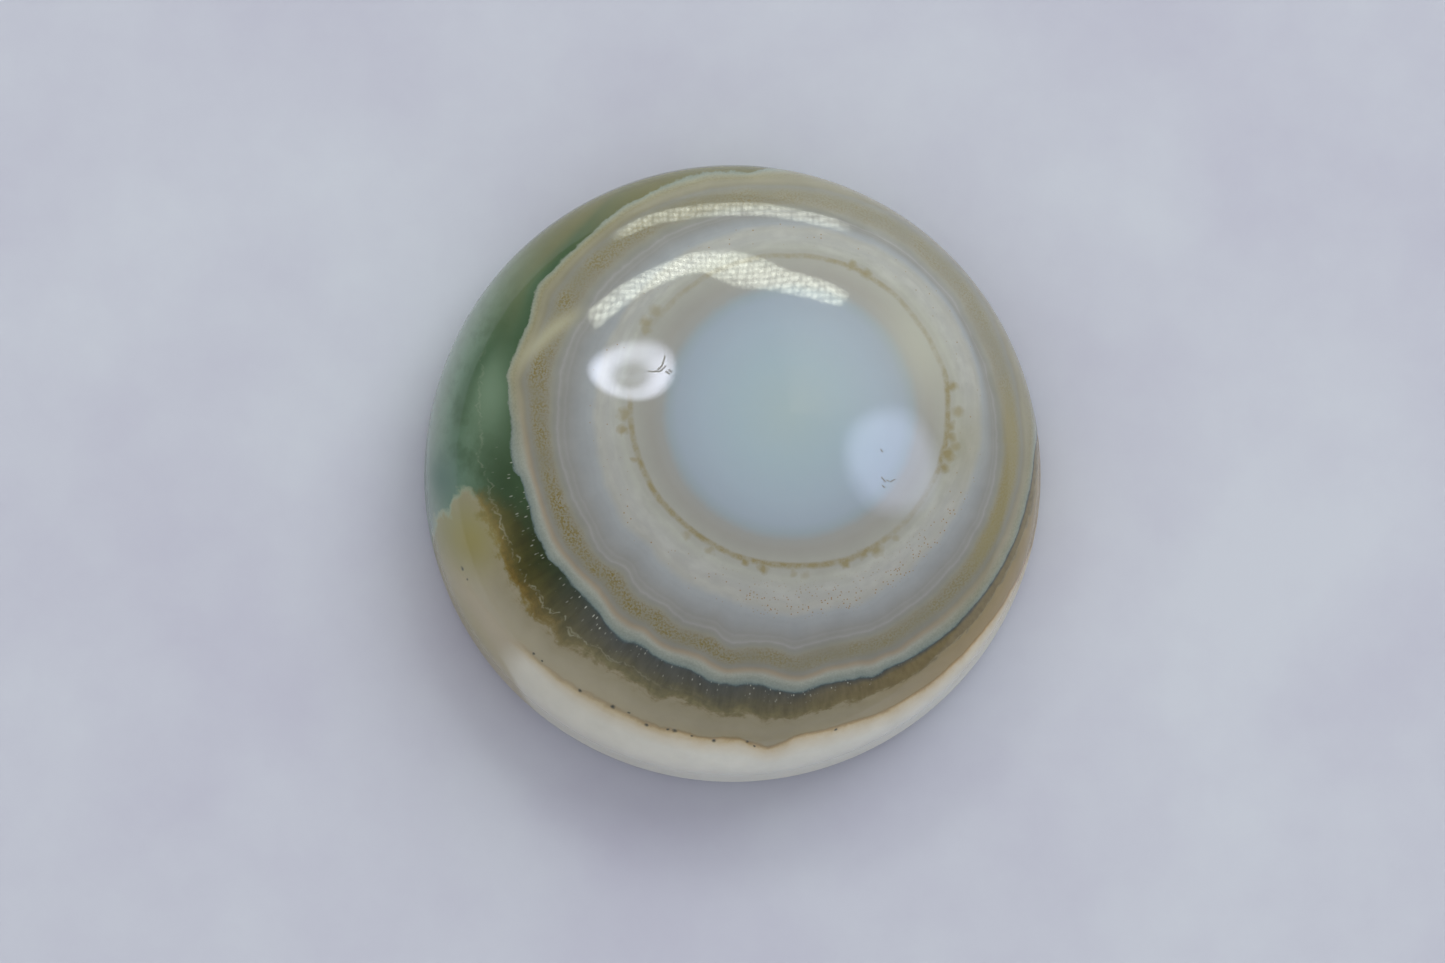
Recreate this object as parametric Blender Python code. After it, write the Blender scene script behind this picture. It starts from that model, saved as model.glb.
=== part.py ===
"""A round, high-domed ocean jasper cabochon: one polished stone, resting on its flat base.

The frame is in metres, +Z up, with the origin at the middle of the base. The stone is one
solid of revolution. Its profile has four stretches, from the top down: the dome, a short
leaning girdle wall, a small bevel that keeps the base edge from chipping, and the base.
"""

import math

import bmesh
import bpy

# Driving dimensions, in metres
GIRDLE_DIAMETER = 0.0140
TOTAL_HEIGHT = 0.0047
GIRDLE_TOP_HEIGHT = 0.0013
GIRDLE_LEAN = 0.00006
BASE_BEVEL_WIDTH = 0.0003
BASE_BEVEL_HEIGHT = 0.00022

# The dome's profile is a superellipse. At 2 it would be an ellipse. A little more gives the
# full shoulder and the quieter crown of a stone that was ground by hand on a flat lap.
DOME_FULLNESS = 2.12

# Facets
SECTORS = 112
DOME_RINGS = 26

# The stone's overall colour and polish
STONE_COLOUR = (0.42, 0.41, 0.35, 1.0)
STONE_ROUGHNESS = 0.08

GIRDLE_RADIUS = GIRDLE_DIAMETER / 2
DOME_RADIUS = GIRDLE_RADIUS - GIRDLE_LEAN
DOME_RISE = TOTAL_HEIGHT - GIRDLE_TOP_HEIGHT


def clear_scene():
    """Removes what the scene holds, so that it has only the stone."""
    for old in list(bpy.data.objects):
        bpy.data.objects.remove(old, do_unlink=True)


def dome_point(turn):
    """A point (radius, height) of the superellipse, from the apex at turn 0 to the girdle at 90 degrees."""
    power = 2 / DOME_FULLNESS
    radius = DOME_RADIUS * math.sin(turn) ** power
    height = DOME_RISE * math.cos(turn) ** power
    return radius, GIRDLE_TOP_HEIGHT + height


def stone_profile():
    """The outer profile as (radius, height) pairs, from the apex down to the middle of the base."""
    quarter = math.pi / 2
    dome = [dome_point(quarter * ring / DOME_RINGS) for ring in range(1, DOME_RINGS)]
    return [
        (0.0, TOTAL_HEIGHT),
        *dome,
        (DOME_RADIUS, GIRDLE_TOP_HEIGHT),
        (GIRDLE_RADIUS, BASE_BEVEL_HEIGHT),
        (GIRDLE_RADIUS - BASE_BEVEL_WIDTH, 0.0),
        (0.0, 0.0),
    ]


def turned_mesh(name, profile):
    """Spins the profile once round the Z axis into one closed mesh."""
    bm = bmesh.new()
    points = [bm.verts.new((radius, 0.0, height)) for radius, height in profile]
    edges = [bm.edges.new(pair) for pair in zip(points, points[1:])]
    bmesh.ops.spin(
        bm,
        geom=points + edges,
        cent=(0, 0, 0),
        axis=(0, 0, 1),
        angle=2 * math.pi,
        steps=SECTORS,
    )
    bmesh.ops.remove_doubles(bm, verts=bm.verts, dist=1e-7)
    bmesh.ops.recalc_face_normals(bm, faces=bm.faces)
    mesh = bpy.data.meshes.new(name)
    bm.to_mesh(mesh)
    bm.free()
    mesh.shade_smooth()
    mesh.set_sharp_from_angle(angle=math.radians(30))
    return mesh


def polished_jasper():
    """The stone's material: a smooth, non-metallic polish in its overall colour."""
    material = bpy.data.materials.new("polished_jasper")
    material.use_nodes = True
    shader = material.node_tree.nodes["Principled BSDF"]
    shader.inputs["Base Color"].default_value = STONE_COLOUR
    shader.inputs["Roughness"].default_value = STONE_ROUGHNESS
    shader.inputs["Metallic"].default_value = 0.0
    return material


def build_cabochon():
    """The whole stone, as one object that stands on z = 0."""
    mesh = turned_mesh("cabochon", stone_profile())
    mesh.materials.append(polished_jasper())
    stone = bpy.data.objects.new("cabochon", mesh)
    bpy.context.scene.collection.objects.link(stone)
    return stone


clear_scene()
build_cabochon()
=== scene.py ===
# %% [markdown]
# A round ocean jasper cabochon, 14 mm across, seen from above on a pale table.
#
# Ocean jasper is chalcedony that grew in shells round many hearts. The polished dome shows one
# such orb as rings: a blue grey core, a brown seam, pale, lilac and olive shells and a scalloped
# frosty rim, with dark smoky stone, tan, cream and moss green outside it. This lesson makes the
# dome as one numpy surface, lets every point of it know how far the orb had grown when that
# point formed, and paints by that growth.

# %% Load the fixed frame
import math

import bpy
import numpy as np
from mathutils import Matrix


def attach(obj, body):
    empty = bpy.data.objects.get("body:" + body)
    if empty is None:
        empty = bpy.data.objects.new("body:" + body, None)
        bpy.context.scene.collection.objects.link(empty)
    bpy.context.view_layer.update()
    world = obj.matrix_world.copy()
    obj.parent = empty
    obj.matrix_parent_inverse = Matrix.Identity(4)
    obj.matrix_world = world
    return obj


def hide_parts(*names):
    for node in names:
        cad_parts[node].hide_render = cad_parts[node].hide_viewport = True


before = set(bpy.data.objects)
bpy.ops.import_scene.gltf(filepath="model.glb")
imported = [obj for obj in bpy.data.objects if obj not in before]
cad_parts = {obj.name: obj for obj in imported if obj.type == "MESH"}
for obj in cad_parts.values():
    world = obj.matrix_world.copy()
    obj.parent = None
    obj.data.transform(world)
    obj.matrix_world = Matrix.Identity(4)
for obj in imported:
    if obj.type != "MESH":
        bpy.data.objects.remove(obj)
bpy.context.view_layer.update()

# %% [markdown]
# A few small helpers come first. Screens give colours as sRGB hex, but Cycles mixes light in
# linear values, so one function turns a hex colour into linear numbers. Another adds a shader
# node with its settings and links, which keeps each material short enough to read like a recipe.

# %% Colour, node and mesh helpers
MM = 0.001


def linear(hex_colour):
    """Turn an sRGB hex colour into linear red, green, blue and an alpha of 1.

    Each channel c between 0 and 1 becomes c / 12.92 near black, and otherwise
    ((c + 0.055) / 1.055) to the power 2.4.
    """
    channels = [int(hex_colour[i:i + 2], 16) / 255 for i in (1, 3, 5)]
    light = [c / 12.92 if c <= 0.04045 else ((c + 0.055) / 1.055) ** 2.4 for c in channels]
    return (*light, 1.0)


def add(tree, kind, inputs=(), stops=(), **settings):
    """Add one node with its settings, its inputs and, on a colour ramp, its stops.

    The inputs are a tuple in the node's own order, or a dict by name or number. Each is a value,
    a hex colour, an output, or a node, of which the first output in use is taken. A stop is a
    position between 0 and 1 with a hex colour.
    """
    made = tree.nodes.new("ShaderNode" + kind)
    for name, value in settings.items():
        setattr(made, name, value)
    for name, value in inputs.items() if isinstance(inputs, dict) else enumerate(inputs):
        if isinstance(value, bpy.types.Node):
            value = next(output for output in value.outputs if output.enabled)
        if isinstance(value, bpy.types.NodeSocket):
            tree.links.new(value, made.inputs[name])
        else:
            made.inputs[name].default_value = linear(value) if isinstance(value, str) else value
    if stops:
        elements = made.color_ramp.elements
        while len(elements) < len(stops):
            elements.new(1.0)
        for element, (position, colour) in zip(elements, stops):
            element.position = position
            element.color = linear(colour)
    return made


def blank_tree(owner):
    """The emptied node tree of a new material or world."""
    owner.use_nodes = True
    owner.node_tree.nodes.clear()
    return owner.node_tree


def mesh_of(name, points, faces):
    """A mesh from points in millimetres and a list of faces."""
    mesh = bpy.data.meshes.new(name)
    mesh.from_pydata((points * MM).tolist(), [], faces)
    return mesh


def keep(mesh, name, values):
    """Store a number or a vector at each point of a mesh, as an attribute."""
    is_vector = values.ndim == 2
    kept = mesh.attributes.new(name, "FLOAT_VECTOR" if is_vector else "FLOAT", "POINT")
    kept.data.foreach_set("vector" if is_vector else "value", values.astype(np.float32).ravel())


def in_scene(name, data):
    """Put a mesh, a camera or a light in the scene as an object at the origin."""
    made = bpy.data.objects.new(name, data)
    bpy.context.scene.collection.objects.link(made)
    return made


print("helpers ready, mid grey is", round(linear("#808080")[0], 3), "in linear light")

# %% [markdown]
# The camera looks almost straight down, tipped 6 degrees towards the near side of the table, and
# its long lens keeps the outline round, as a macro lens does. The lens length isn't guessed: it
# is the one that makes the stone's 7 mm radius fill the share of the picture that it should. The
# aim point puts the stone a little right of and above the middle.

# %% Camera
GIRDLE_RADIUS = 7.0
FRAME_WIDTH_PX = 1445
OUTLINE_RADIUS_PX = 309.0
STONE_RIGHT_OF_MIDDLE_PX = 10.0
STONE_ABOVE_MIDDLE_PX = 8.6
CAMERA_DISTANCE = 250.0
CAMERA_ELEVATION = 84.0
SENSOR_WIDTH = 36.0
GIRDLE_MIDDLE_HEIGHT = 0.75

mm_per_px = GIRDLE_RADIUS / OUTLINE_RADIUS_PX
elevation = math.radians(CAMERA_ELEVATION)
view_right = np.array([1.0, 0.0, 0.0])
view_up = np.array([0.0, math.sin(elevation), math.cos(elevation)])
view_back = np.array([0.0, -math.cos(elevation), math.sin(elevation)])
girdle_middle = np.array([0.0, 0.0, GIRDLE_MIDDLE_HEIGHT])
aim = (girdle_middle - STONE_RIGHT_OF_MIDDLE_PX * mm_per_px * view_right
       - STONE_ABOVE_MIDDLE_PX * mm_per_px * view_up)
camera_place = aim + CAMERA_DISTANCE * view_back

camera_data = bpy.data.cameras.new("macro_camera")
camera_data.sensor_width = SENSOR_WIDTH
camera_data.lens = SENSOR_WIDTH * CAMERA_DISTANCE / (FRAME_WIDTH_PX * mm_per_px)
camera_data.clip_start = 0.01
camera = in_scene("macro_camera", camera_data)
camera.location = camera_place * MM
camera.rotation_euler = (math.radians(90 - CAMERA_ELEVATION), 0.0, 0.0)
bpy.context.scene.camera = camera
bpy.context.scene.view_settings.view_transform = "Standard"
print("lens of", round(camera_data.lens, 1), "mm,", round(mm_per_px, 5), "mm to a pixel")


def seen_from_camera(points):
    """Where points in millimetres appear in the plane through the girdle: right, up.

    Perspective: the sideways offset from the line of sight, scaled by the aim point's distance
    over the point's own distance, and counted from the middle of the stone's outline.
    """
    offset = points - camera_place
    depth = -offset @ view_back
    flat = np.stack([offset @ view_right, offset @ view_up], axis=-1)
    middle = np.array([STONE_RIGHT_OF_MIDDLE_PX, STONE_ABOVE_MIDDLE_PX]) * mm_per_px
    return flat * (CAMERA_DISTANCE / depth)[..., None] - middle


# %% [markdown]
# A cabochon has a short upright girdle that a setting can grip, a small bevel that keeps the
# back edge from chipping, and the dome over them. Seen from the side the dome is a superellipse,
# a little fuller than an ellipse. The profile is one run of points from the top of the dome to
# the middle of the back, and averaging it over a short stretch rounds its corners as a
# polishing pad does.

# %% Profile of the cut
DOME_RADIUS = 6.94
DOME_RISE = 3.40
DOME_FULLNESS = 2.12
GIRDLE_TOP_HEIGHT = 1.30
BEVEL_WIDTH = 0.30
BEVEL_HEIGHT = 0.22
CORNER_SOFTNESS = 0.30
FINE_STEP = 0.004


def dome_height(radius):
    """Height of the dome over the table, at a distance from the stone's axis.

    The superellipse: girdle height plus rise times (1 - (r / R) ** n) ** (1 / n).
    """
    share = np.clip(np.asarray(radius) / DOME_RADIUS, 0.0, 1.0)
    return GIRDLE_TOP_HEIGHT + DOME_RISE * (1 - share ** DOME_FULLNESS) ** (1 / DOME_FULLNESS)


def place_on_dome(seen):
    """Places x, y on the dome that the camera sees at offsets from the outline's middle.

    A few rounds of adding what is still missing, because the dome's height shifts a place only
    slightly in the picture.
    """
    place = seen.copy()
    for _ in range(8):
        height = dome_height(np.hypot(place[..., 0], place[..., 1]))
        place += seen - seen_from_camera(np.concatenate([place, height[..., None]], axis=-1))
    return place


def spaced_along(radius, height, places):
    """Points at the given distances along a run of points, with straight lines between them."""
    steps = np.hypot(np.diff(radius), np.diff(height))
    along = np.concatenate([[0.0], np.cumsum(steps)])
    return np.interp(places, along, radius), np.interp(places, along, height), along[-1]


def cut_profile():
    """The sharp profile, as radius and height at every fine step along it.

    Dome: radius R sin(t) ** (2 / n) and height rise cos(t) ** (2 / n), t from 0 to 90 degrees.
    Then straight lines down the girdle, in along the bevel, and in to the axis.
    """
    t = np.linspace(0.0, math.pi / 2, 4000)
    power = 2 / DOME_FULLNESS
    radius = np.append(DOME_RADIUS * np.sin(t) ** power,
                       [GIRDLE_RADIUS, GIRDLE_RADIUS - BEVEL_WIDTH, 0.0])
    height = np.append(GIRDLE_TOP_HEIGHT + DOME_RISE * np.clip(np.cos(t), 0, 1) ** power,
                       [BEVEL_HEIGHT, 0.0, 0.0])
    length = spaced_along(radius, height, [0.0])[2]
    places = np.linspace(0.0, length, int(length / FINE_STEP))
    return spaced_along(radius, height, places)


def soften(values, odd):
    """Average each value with its neighbours under a raised cosine window.

    The run is first continued past both ends as its mirror image, with its sign turned
    where odd, so that the two poles stay on the axis.
    """
    half = int(CORNER_SOFTNESS / FINE_STEP)
    window = np.hanning(2 * half + 1)
    sign = -1.0 if odd else 1.0
    longer = np.concatenate([sign * values[half:0:-1], values, sign * values[-2:-half - 2:-1]])
    return np.convolve(longer, window / window.sum(), mode="valid")


sharp_radius, sharp_height, profile_length = cut_profile()
soft_radius = soften(sharp_radius, odd=True)
soft_height = soften(sharp_height, odd=False)
print("profile is", round(profile_length, 2), "mm long, dome top at", round(soft_height[0], 3))

# %% [markdown]
# Where the tan shell met the cream one, the stone never quite filled up. That left a line of tiny
# open pits, which dealers call vugs, and no polish can close them. They are real dents here: the
# surface sinks by a few hundredths of a millimetre at each.

# %% Open pits
# Offset right and up from the middle of the outline, then the pit's radius, in millimetres.
VUGS = (
    (-4.51, -4.10, 0.040), (-4.33, -4.26, 0.030), (-3.46, -4.94, 0.050), (-2.71, -5.31, 0.060),
    (-2.35, -5.44, 0.035), (-1.94, -5.72, 0.045), (-1.46, -5.83, 0.040), (-1.32, -5.85, 0.055),
    (-0.94, -5.97, 0.035), (-0.41, -6.08, 0.055), (0.32, -6.10, 0.040), (0.50, -6.20, 0.035),
    (2.34, -5.83, 0.040), (-6.13, -2.17, 0.045), (-6.01, -2.42, 0.035))
VUG_DEPTH = 0.030
VUG_SPREAD = 1.4
vug_seen = np.array(VUGS)[:, :2]
vug_places = place_on_dome(vug_seen)
vug_places = np.column_stack([vug_places, dome_height(np.hypot(*vug_places.T))])
print(len(VUGS), "pits, the widest", 2000 * max(vug[2] for vug in VUGS), "micrometres across")


def pitted(points):
    """How far each point sinks: at each pit, the depth times e to the minus (d / (1.4 r)) ** 2."""
    sunk = np.zeros(points.shape[:-1])
    for place, (_, _, radius) in zip(vug_places, VUGS):
        gap = np.linalg.norm(points - place, axis=-1)
        sunk += VUG_DEPTH * np.exp(-(gap / (VUG_SPREAD * radius)) ** 2)
    return sunk


# %% [markdown]
# The surface is a grid of two parameters: how far along the profile, and how far round. Rows lie
# closer together round the girdle, where the shape turns quickly. A stone polished by hand isn't
# a perfect figure of revolution either: a few long waves, some hundredths of a millimetre high,
# don't show in the outline, but they bend every reflection a little.

# %% The stone as one surface
SECTORS = 512
CROWN_ROWS = 126
EDGE_ROWS = 36
BACK_ROWS = 22
CROWN_LENGTH = 7.7
EDGE_LENGTH = 2.3
POLISH_WAVES = 7
POLISH_WAVE_HEIGHT = 0.006
rng = np.random.default_rng(14)


def hand_polish(x, y):
    """Height of the polishing waves over the dome, in millimetres.

    The sum of a few sine waves, each with its own direction, length of 3 to 6 mm and phase.
    """
    total = np.zeros_like(x)
    for turn, length, phase in zip(rng.uniform(0, math.tau, POLISH_WAVES),
                                   rng.uniform(3.0, 6.0, POLISH_WAVES),
                                   rng.uniform(0, math.tau, POLISH_WAVES)):
        across = x * math.cos(turn) + y * math.sin(turn)
        total += np.sin(math.tau * across / length + phase)
    return POLISH_WAVE_HEIGHT * total


def turned_surface():
    """The whole stone as an array of rows, sectors and x, y, z in millimetres.

    Point (s, a) is the softened profile's radius at s turned by the angle a, and its height at
    s. The waves are added upwards and fade out before the girdle: their height is multiplied
    by (1 - (r / R) ** 4) on the dome, and by 0 below it.
    """
    places = np.concatenate([
        np.linspace(0.0, CROWN_LENGTH, CROWN_ROWS, endpoint=False),
        np.linspace(CROWN_LENGTH, CROWN_LENGTH + EDGE_LENGTH, EDGE_ROWS, endpoint=False),
        np.linspace(CROWN_LENGTH + EDGE_LENGTH, profile_length, BACK_ROWS)])
    fine = np.linspace(0.0, profile_length, len(soft_radius))
    radius = np.interp(places, fine, soft_radius)[:, None]
    height = np.interp(places, fine, soft_height)[:, None]
    angle = np.linspace(0.0, math.tau, SECTORS, endpoint=False)[None, :]
    x = radius * np.cos(angle)
    y = radius * np.sin(angle)
    on_dome = (height > GIRDLE_TOP_HEIGHT) * (1 - np.clip(radius / DOME_RADIUS, 0, 1) ** 4)
    z = height + on_dome * hand_polish(x, y)
    surface = np.stack([x, y, z], axis=-1)
    surface[..., 2] -= pitted(surface)
    return surface


def closed_faces(rows, sectors):
    """Faces of a grid whose first and last row are single points.

    Point 0 is the top, then come the rows in between, and the last point is the bottom.
    Each face runs anticlockwise seen from outside.
    """
    here = np.arange(sectors)
    beside = (here + 1) % sectors
    starts = 1 + sectors * np.arange(rows - 3)[:, None]
    quads = np.stack([starts + here, starts + sectors + here,
                      starts + sectors + beside, starts + beside], axis=-1).reshape(-1, 4)
    last_row = 1 + sectors * (rows - 3)
    bottom = last_row + sectors
    top_fan = np.stack([np.zeros(sectors, int), 1 + here, 1 + beside], axis=-1)
    bottom_fan = np.stack([np.full(sectors, bottom), last_row + beside, last_row + here], axis=-1)
    return quads.tolist() + top_fan.tolist() + bottom_fan.tolist()


grid = turned_surface()
points = np.concatenate([grid[0, :1], grid[1:-1].reshape(-1, 3), grid[-1, :1]])
faces = closed_faces(grid.shape[0], SECTORS)
stone_mesh = mesh_of("polished_stone", points, faces)
stone_mesh.shade_smooth()
stone = in_scene("polished_stone", stone_mesh)
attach(stone, "root")
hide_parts("cabochon")
print(len(points), "points,", 2 * len(faces), "triangles at most")

# %% [markdown]
# Each ring was read off the stone as a distance from the orb's heart at some clock angles (0 is
# right, 90 up), in millimetres. They aren't true circles: they draw together at the upper right,
# and the outer ones are scalloped. A function joins the readings and rounds off their corners.

# %% Rings of the orb, read in millimetres
HEART = np.array([1.310, 1.380])
HEART_HEIGHT = 1.30

SEAM_RING = (
    (0, 3.57), (10, 3.62), (35, 3.53), (60, 3.57), (90, 3.55), (130, 3.64), (150, 3.71), (180, 3.64),
    (195, 3.60), (210, 3.55), (230, 3.46), (270, 3.46), (290, 3.57), (325, 3.60))
PALE_RING = (
    (0, 4.36), (20, 4.33), (50, 4.28), (70, 4.21), (110, 4.30), (150, 4.42), (180, 4.49), (210, 4.52),
    (225, 4.44), (238, 4.52), (250, 4.46), (262, 4.60), (270, 4.66), (278, 4.58), (290, 4.67), (300, 4.55),
    (320, 4.44), (340, 4.39))
THREAD_RING = (
    (0, 4.60), (20, 4.45), (45, 4.42), (70, 4.45), (100, 4.60), (130, 4.90), (150, 5.10), (170, 5.26),
    (200, 5.28), (210, 5.25), (216, 5.31), (219, 5.29), (221, 5.20), (224, 5.14), (227, 5.24), (230, 5.28),
    (237, 5.20), (243, 5.31), (247, 5.26), (251, 5.20), (253, 5.31), (256, 5.37), (260, 5.27), (265, 5.24),
    (268, 5.28), (271, 5.39), (274, 5.28), (280, 5.19), (290, 5.25), (305, 5.14), (320, 5.05), (335, 4.92),
    (350, 4.74))
TAN_LINE_RING = (
    (0, 5.25), (20, 5.13), (45, 5.08), (70, 5.12), (90, 5.20), (100, 5.28), (110, 5.45), (130, 5.75),
    (140, 5.88), (150, 6.02), (154, 6.12), (158, 6.06), (162, 6.02), (168, 6.12), (173, 6.20), (177, 6.10),
    (182, 6.03), (187, 6.00), (191, 5.97), (196, 5.95), (200, 5.98), (208, 6.05), (213, 6.02), (218, 5.95),
    (223, 5.89), (226, 5.97), (229, 6.04), (233, 6.01), (236, 5.90), (240, 6.00), (243, 5.99), (246, 5.93),
    (250, 5.89), (253, 5.98), (256, 6.03), (260, 5.89), (263, 5.86), (266, 5.89), (269, 6.00), (272, 6.03),
    (276, 5.92), (279, 5.85), (284, 5.86), (288, 5.94), (291, 5.89), (294, 5.93), (297, 5.85), (301, 5.80),
    (310, 5.77), (320, 5.70), (330, 5.60), (340, 5.50), (350, 5.40))
ORB_EDGE_RING = (
    (5, 5.62), (30, 5.62), (80, 5.62), (95, 5.55), (100, 5.50), (110, 5.76), (120, 5.86), (130, 6.00),
    (137, 6.04), (143, 6.13), (149, 6.25), (151, 6.33), (153, 6.39), (155, 6.40), (158, 6.32), (161, 6.26),
    (164, 6.30), (167, 6.36), (171, 6.45), (173, 6.47), (176, 6.41), (179, 6.40), (181, 6.36), (183, 6.32),
    (185, 6.37), (187, 6.43), (190, 6.43), (192, 6.36), (194, 6.28), (197, 6.27), (200, 6.27), (202, 6.34),
    (205, 6.39), (211, 6.39), (213, 6.35), (215, 6.28), (219, 6.32), (223, 6.26), (226, 6.27), (228, 6.37),
    (230, 6.41), (234, 6.39), (237, 6.28), (241, 6.34), (245, 6.31), (248, 6.27), (251, 6.31), (254, 6.37),
    (257, 6.33), (259, 6.31), (261, 6.24), (265, 6.25), (267, 6.31), (270, 6.37), (273, 6.35), (275, 6.28),
    (277, 6.22), (280, 6.20), (283, 6.24), (285, 6.22), (287, 6.30), (289, 6.27), (291, 6.21), (295, 6.21),
    (300, 6.17), (305, 6.15), (310, 6.11), (320, 5.98), (330, 5.86), (340, 5.73), (350, 5.60))
FRINGE_RING = (
    (0, 5.62), (20, 5.72), (80, 5.75), (100, 6.60), (120, 7.10), (150, 7.30), (196, 7.40), (200, 7.36),
    (208, 7.35), (212, 7.38), (217, 7.30), (219, 7.48), (221, 7.27), (223, 7.32), (225, 7.46), (228, 7.20),
    (231, 7.12), (234, 7.22), (237, 7.06), (240, 7.08), (245, 7.16), (248, 7.02), (252, 6.96), (255, 7.06),
    (258, 7.02), (262, 6.88), (265, 7.05), (268, 6.92), (271, 6.96), (275, 6.80), (280, 6.70), (285, 6.68),
    (290, 6.62), (300, 6.48), (310, 6.32), (320, 6.14), (330, 5.98), (340, 5.84), (350, 5.68))
RUST_LINE_RING = (
    (0, 5.72), (20, 5.82), (80, 5.85), (100, 7.60), (120, 8.40), (205, 8.45), (212, 8.36), (217, 8.26),
    (221, 8.14), (225, 8.05), (230, 8.00), (235, 7.90), (245, 7.80), (250, 7.74), (254, 7.69), (258, 7.61),
    (261, 7.55), (264, 7.62), (266, 7.69), (268, 7.60), (271, 7.38), (275, 7.32), (280, 7.22), (290, 7.08),
    (300, 6.88), (310, 6.66), (320, 6.47), (330, 6.28), (340, 6.08), (350, 5.88))
CREAM_END_RING = (
    (0, 6.60), (90, 6.60), (120, 8.60), (205, 8.55), (215, 8.50), (222, 8.66), (226, 8.80), (230, 8.98),
    (236, 9.40), (270, 9.00), (320, 8.00), (345, 7.00))

# The same rings on an orb that had grown evenly: the growth at which each one lies.
RINGS = ((2.91, ((0, 2.91),)), (3.57, SEAM_RING), (4.48, PALE_RING), (5.23, THREAD_RING),
         (5.90, TAN_LINE_RING), (6.33, ORB_EDGE_RING), (7.10, FRINGE_RING),
         (7.75, RUST_LINE_RING), (8.80, CREAM_END_RING))
print(len(RINGS), "rings from", sum(len(readings) for _, readings in RINGS), "readings")

# %% How far the orb had grown at each point
CLOCK_STEP = 0.5
LEAST_RING_GAP = 0.02


def round_the_clock(readings, clock):
    """A ring's value at any clock angle in degrees.

    Straight lines between the readings, all the way round, then each half degree takes the
    mean of itself and its two neighbours, twice over.
    """
    angles, values = np.array(readings, float).T
    steps = np.arange(0.0, 360.0, CLOCK_STEP)
    table = np.interp(steps, angles, values, period=360)
    for _ in range(2):
        table = (np.roll(table, 1) + table + np.roll(table, -1)) / 3
    return np.interp(clock, steps, table, period=360)


def about_the_heart(points):
    """Distance and clock angle about the orb's heart, and the offset itself, in millimetres.

    On the dome they are what the camera sees. Below it the shells go on as shells do: a point
    takes the place of the dome point above it, and its squared distance changes by its own
    squared depth from the heart less that of the dome point.
    """
    top = points.copy()
    top[:, 2] = np.maximum(points[:, 2], dome_height(np.hypot(points[:, 0], points[:, 1])))
    across, up = (seen_from_camera(top) - HEART).T
    squared = (across ** 2 + up ** 2 + (points[:, 2] - HEART_HEIGHT) ** 2
               - (top[:, 2] - HEART_HEIGHT) ** 2)
    distance = np.sqrt(np.clip(squared, 0.0, None))
    clock = np.degrees(np.arctan2(up, across)) % 360
    return distance, clock, np.stack([across, up, points[:, 2] - HEART_HEIGHT], axis=-1)


def growth_at(distance, clock):
    """How far the orb had grown, in millimetres, when a point formed.

    A run of straight lines through the rings: at each ring's own distance the growth is that
    ring's even one, and past the last ring it goes on at the same rate.
    """
    growth = np.zeros_like(distance)
    before_ring, before_growth = np.zeros_like(distance), 0.0
    for level, readings in RINGS:
        ring = np.maximum(round_the_clock(readings, clock), before_ring + LEAST_RING_GAP)
        share = np.clip((distance - before_ring) / (ring - before_ring), 0.0, 1.0)
        growth += share * (level - before_growth)
        before_ring, before_growth = ring, level
    return growth + np.clip(distance - before_ring, 0.0, None)


distance, clock, offset = about_the_heart(points)
growth = growth_at(distance, clock)
bearing = np.stack([np.cos(np.radians(clock)), np.sin(np.radians(clock)), growth], axis=-1)
print("growth runs from", round(growth.min(), 2), "to", round(growth.max(), 2), "mm")

# %% [markdown]
# Some things change round the clock instead of with growth. The left side is moss green, with
# a milky patch, a darker strip outside it, a teal patch, and a pale rim at the upper left, which is
# partly paler stone and partly a painted reflection of the table in the grazing polish. The smoky
# band is greenest beside the moss and turns brown as it thins out to the right. Each is a soft
# mask between 0 and 1, kept on the mesh as an attribute that the material reads.

# %% Masks round the clock
def soft_step(values, start, end):
    """0 before start, 1 after end, and 3 s s - 2 s s s of the share s between them."""
    share = np.clip((values - start) / (end - start), 0.0, 1.0)
    return share * share * (3 - 2 * share)


def soft_patch(at_clock, at_distance, half_turn, half_width):
    """A round patch: e to the power of minus the squared distance from its middle.

    The distance is counted in half turns round the clock and half widths along the radius.
    """
    turn = (clock - at_clock + 180) % 360 - 180
    return np.exp(-(turn / half_turn) ** 2 - ((distance - at_distance) / half_width) ** 2)


# Distance from the heart, then the clock angle at which moss green ends, going down the left.
MOSS_BORDER = (
    (6.20, 202.0), (6.60, 200.0), (6.90, 196.5), (7.30, 195.0), (7.60, 193.5), (7.86, 194.0),
    (8.02, 196.5), (8.31, 196.0), (8.65, 200.0), (10.0, 203.0))
# Distance from the heart, then how many millimetres the change to and from moss takes.
MOSS_SOFTNESS = ((6.2, 1.3), (7.0, 0.8), (7.35, 0.3), (7.6, 0.20), (9.0, 0.24))
# Clock angle, then the middle of the dark strip outside the milky patch, and how dark it is.
STRIP = ((150, 6.60), (165, 6.80), (170, 7.08), (175, 7.30), (180, 7.48), (185, 7.64), (190, 7.74))
STRIP_DARKNESS = ((155, 0.0), (166, 0.7), (174, 0.65), (182, 0.45), (188, 0.3), (192, 0.0), (200, 0.0))
STRIP_HALF_WIDTH = 0.22
# Clock angle, then how strongly iron stained the seam.
SEAM_STAIN = (
    (0, 0.8), (11, 0.8), (18, 0.4), (50, 0.45), (58, 0.75), (70, 0.75), (80, 0.5), (120, 0.4), (140, 0.3),
    (153, 0.0), (172, 0.0), (178, 0.6), (190, 0.85), (242, 0.9), (246, 1.0), (262, 1.0), (275, 0.85),
    (290, 0.9), (302, 0.85), (308, 0.45), (318, 0.3), (333, 0.25), (338, 0.8), (350, 0.9))
# Clock angle, then how clearly the white vein shows.
VEIN_SHOWN = (
    (165, 0.0), (174, 0.35), (196, 0.45), (202, 1.0), (226, 1.0), (236, 0.5), (248, 0.25), (256, 0.0))
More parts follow.
